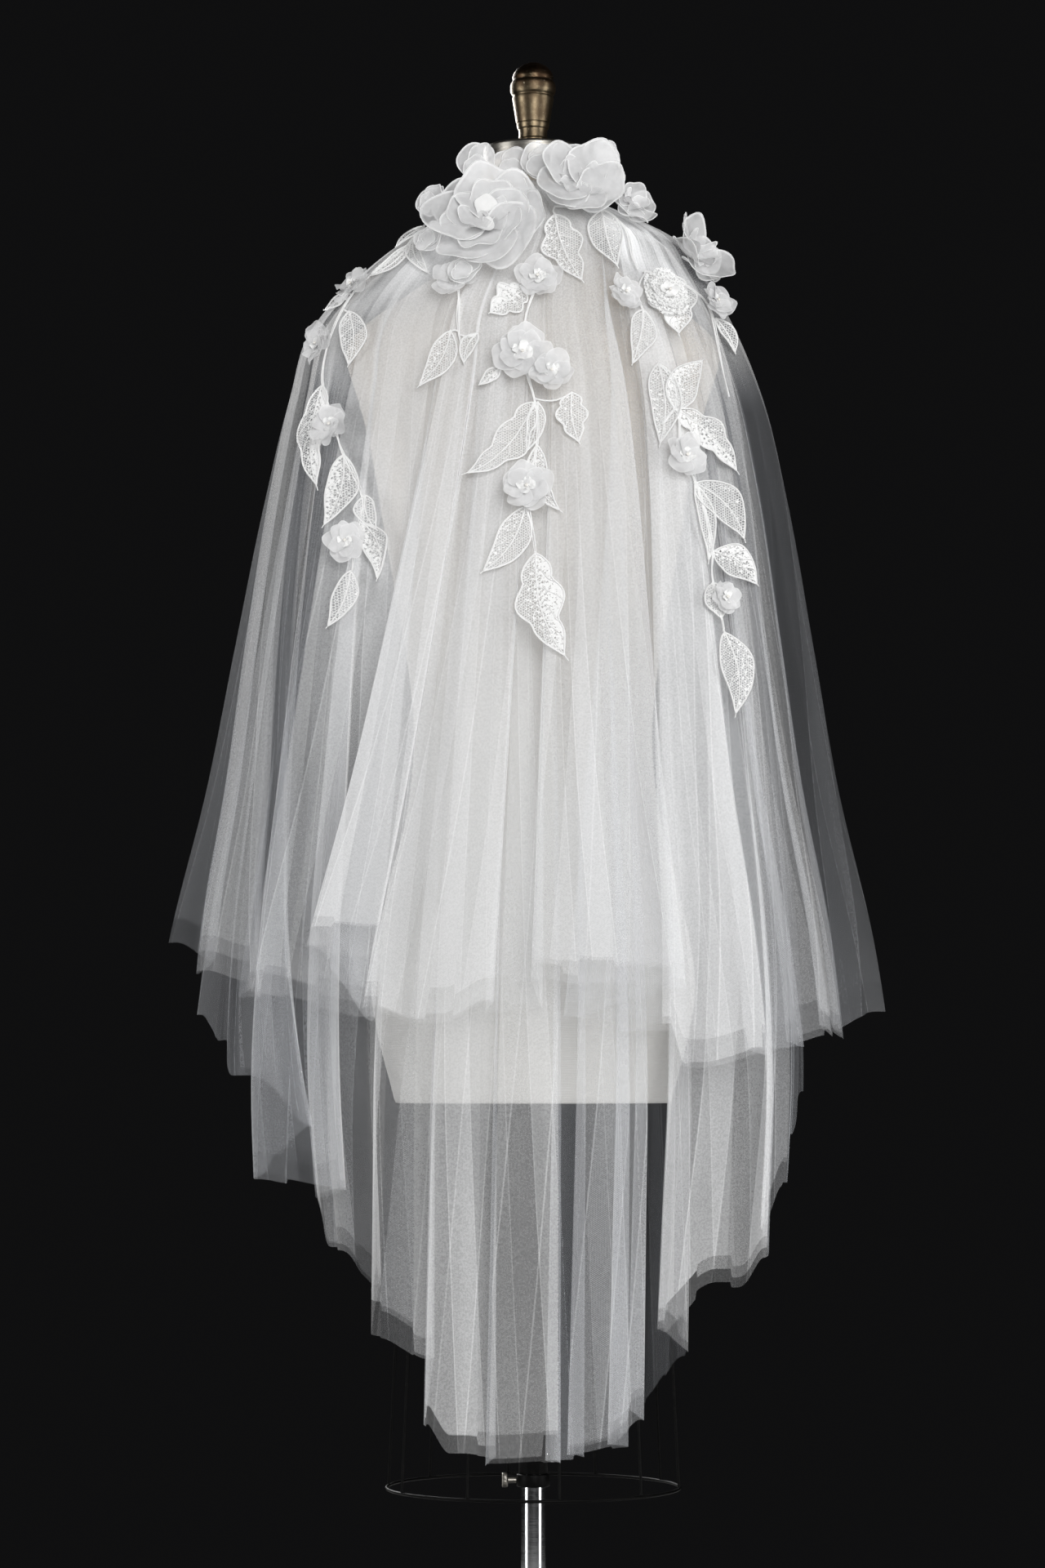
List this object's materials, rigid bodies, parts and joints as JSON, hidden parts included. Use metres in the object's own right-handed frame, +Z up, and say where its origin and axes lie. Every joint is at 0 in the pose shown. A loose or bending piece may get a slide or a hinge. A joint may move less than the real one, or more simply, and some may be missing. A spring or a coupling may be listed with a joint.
{
  "type": "bridal veil on dress form",
  "caption": "Gathered two-tier tulle bridal veil with lace leaf trails and organza flowers, draped down the back of a limbless dress form on a stand.",
  "frame": {"origin": "on the floor, on the pole's axis", "axes": "+Z up; the veil falls down the form's back, which faces -Y; +X is to the right of someone who looks at that back"},
  "size_m": [0.745, 0.4921, 1.6947],
  "materials": {
    "cast_iron": "black satin paint",
    "chrome": "polished",
    "black_wire": "black satin paint",
    "brushed_steel": "brushed round",
    "aged_brass": "aged, worn at the edges",
    "canvas": "off-white canvas",
    "tulle": "sheer soft net",
    "lace": "embroidered net",
    "organza": "sheer, with a soft gloss"
  },
  "bodies": {
    "stand": {"base": "cast_iron"},
    "pole": {"pole": "chrome"},
    "form": {"form_body": "canvas", "neck_plate": "brushed_steel", "finial": "aged_brass", "centre_tube": "black_wire", "collar": "black_wire", "collar_screw": "chrome", "cage_ring": "black_wire", "cage_wire_1": "black_wire", "cage_wire_2": "black_wire", "cage_wire_3": "black_wire", "cage_wire_4": "black_wire", "cage_wire_5": "black_wire", "cage_wire_6": "black_wire", "cage_wire_7": "black_wire", "cage_wire_8": "black_wire", "cage_wire_9": "black_wire", "cage_wire_10": "black_wire", "tier_long": "tulle", "tier_short": "tulle", "gather_band": "organza", "spray_left": "lace", "spray_inner": "lace", "spray_centre": "lace", "spray_neck": "lace", "spray_shoulder": "lace", "spray_right": "lace", "flower_left_1": "organza", "flower_left_2": "organza", "flower_left_3": "organza", "flower_left_4": "organza", "flower_inner": "organza", "flower_centre_1": "organza", "flower_centre_2": "organza", "flower_centre_3": "organza", "flower_centre_4": "organza", "flower_neck": "organza", "flower_shoulder_1": "organza", "flower_shoulder_2": "organza", "flower_right_1": "organza", "flower_right_2": "organza", "rose_nape_outer": "organza", "rose_nape_middle": "organza", "rose_nape_heart": "organza", "rose_neck_outer": "organza", "rose_neck_heart": "organza", "rose_side_outer": "organza", "rose_side_heart": "organza", "rose_shoulder_outer": "organza", "rose_shoulder_heart": "organza", "crown_petal_1": "organza", "crown_petal_2": "organza", "crown_petal_3": "organza", "crown_petal_4": "organza", "crown_petal_5": "organza", "crown_petal_6": "organza", "crown_petal_7": "organza", "crown_petal_8": "organza"}
  },
  "joints": [
    {"name": "pole_swivel", "type": "hinge", "parent": "stand", "child": "pole", "pos_m": [0, 0, 0.06], "axis": [0, 0, 1], "continuous": true},
    {"name": "height_slide", "type": "slide", "parent": "pole", "child": "form", "axis": [0, 0, 1], "range_m": [-0.1, 0.15]}
  ]
}
